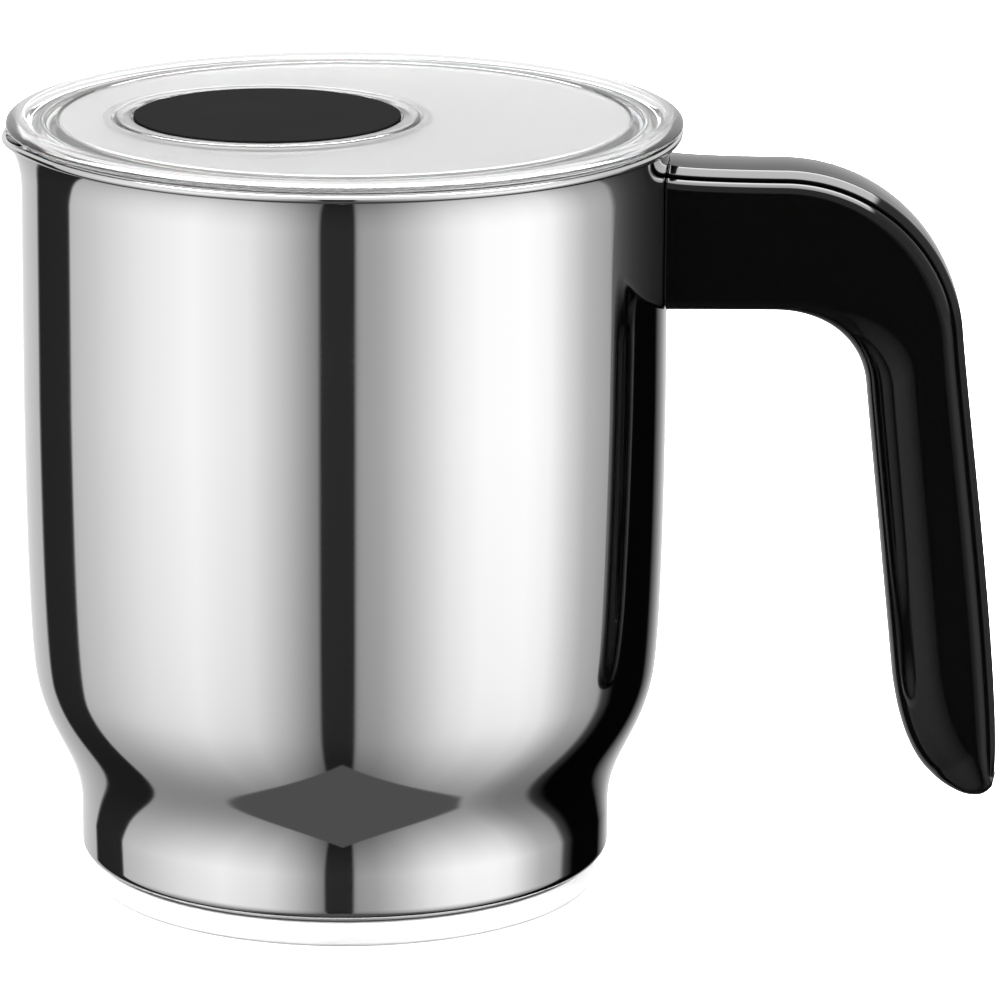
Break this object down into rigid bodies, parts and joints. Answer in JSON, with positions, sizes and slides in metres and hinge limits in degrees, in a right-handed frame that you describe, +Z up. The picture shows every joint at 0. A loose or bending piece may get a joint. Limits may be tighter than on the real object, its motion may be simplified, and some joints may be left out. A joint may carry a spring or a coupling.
{
  "type": "milk frother",
  "caption": "Polished steel frothing jug with induction base, magnetic coil whisk on a floor spindle, clear lid with fill cap, and open-ended black handle.",
  "frame": {"origin": "centre of the base's underside", "axes": "+Z up along the jug's axis, +X towards the handle, -X towards the pouring lip, +Y across the jug"},
  "size_m": [0.1739, 0.117, 0.1365],
  "materials": {
    "polished_steel": "mirror-polished stainless steel",
    "satin_steel": "satin stainless steel",
    "spreader_aluminium": "turned aluminium",
    "screw_steel": "plain steel",
    "spring_steel": "drawn stainless wire",
    "magnet_nickel": "nickel-plated",
    "handle_black": "polished black",
    "cap_black": "satin black",
    "whisk_black": "fine-textured black",
    "bearing_white": "slippery bearing plastic",
    "lid_clear": "clear, polished",
    "seal_silicone": "translucent white silicone"
  },
  "bodies": {
    "jug": {"jug_body": "polished_steel", "base_plate": "satin_steel", "heat_spreader": "spreader_aluminium", "whisk_spindle": "polished_steel", "thrust_washer": "bearing_white", "handle_bracket": "satin_steel", "handle_shell": "handle_black", "handle_cover": "handle_black", "handle_screw_1": "screw_steel", "handle_screw_2": "screw_steel"},
    "lid": {"lid_disc": "lid_clear", "lid_seal": "seal_silicone"},
    "fill_cap": {"fill_cap_cup": "lid_clear", "fill_cap_disc": "cap_black", "fill_cap_seal": "seal_silicone"},
    "whisk_bearing": {"whisk_bushing": "bearing_white"},
    "whisk": {"whisk_hub": "whisk_black", "whisk_magnet_1": "magnet_nickel", "whisk_magnet_2": "magnet_nickel", "whisk_magnet_3": "magnet_nickel", "whisk_magnet_4": "magnet_nickel", "magnet_cover": "whisk_black", "whisk_frame": "spring_steel", "froth_coil": "spring_steel", "whisk_knob": "whisk_black"}
  },
  "joints": [
    {"name": "lid_lift", "type": "slide", "parent": "jug", "child": "lid", "axis": [0, 0, 1], "range_m": [0, 0.06]},
    {"name": "cap_lift", "type": "slide", "parent": "lid", "child": "fill_cap", "axis": [0, 0, 1], "range_m": [0, 0.03]},
    {"name": "whisk_lift", "type": "slide", "parent": "jug", "child": "whisk_bearing", "axis": [0, 0, 1], "range_m": [0, 0.05]},
    {"name": "whisk_spin", "type": "hinge", "parent": "whisk_bearing", "child": "whisk", "pos_m": [0, 0, 0.02], "axis": [0, 0, 1], "continuous": true}
  ]
}
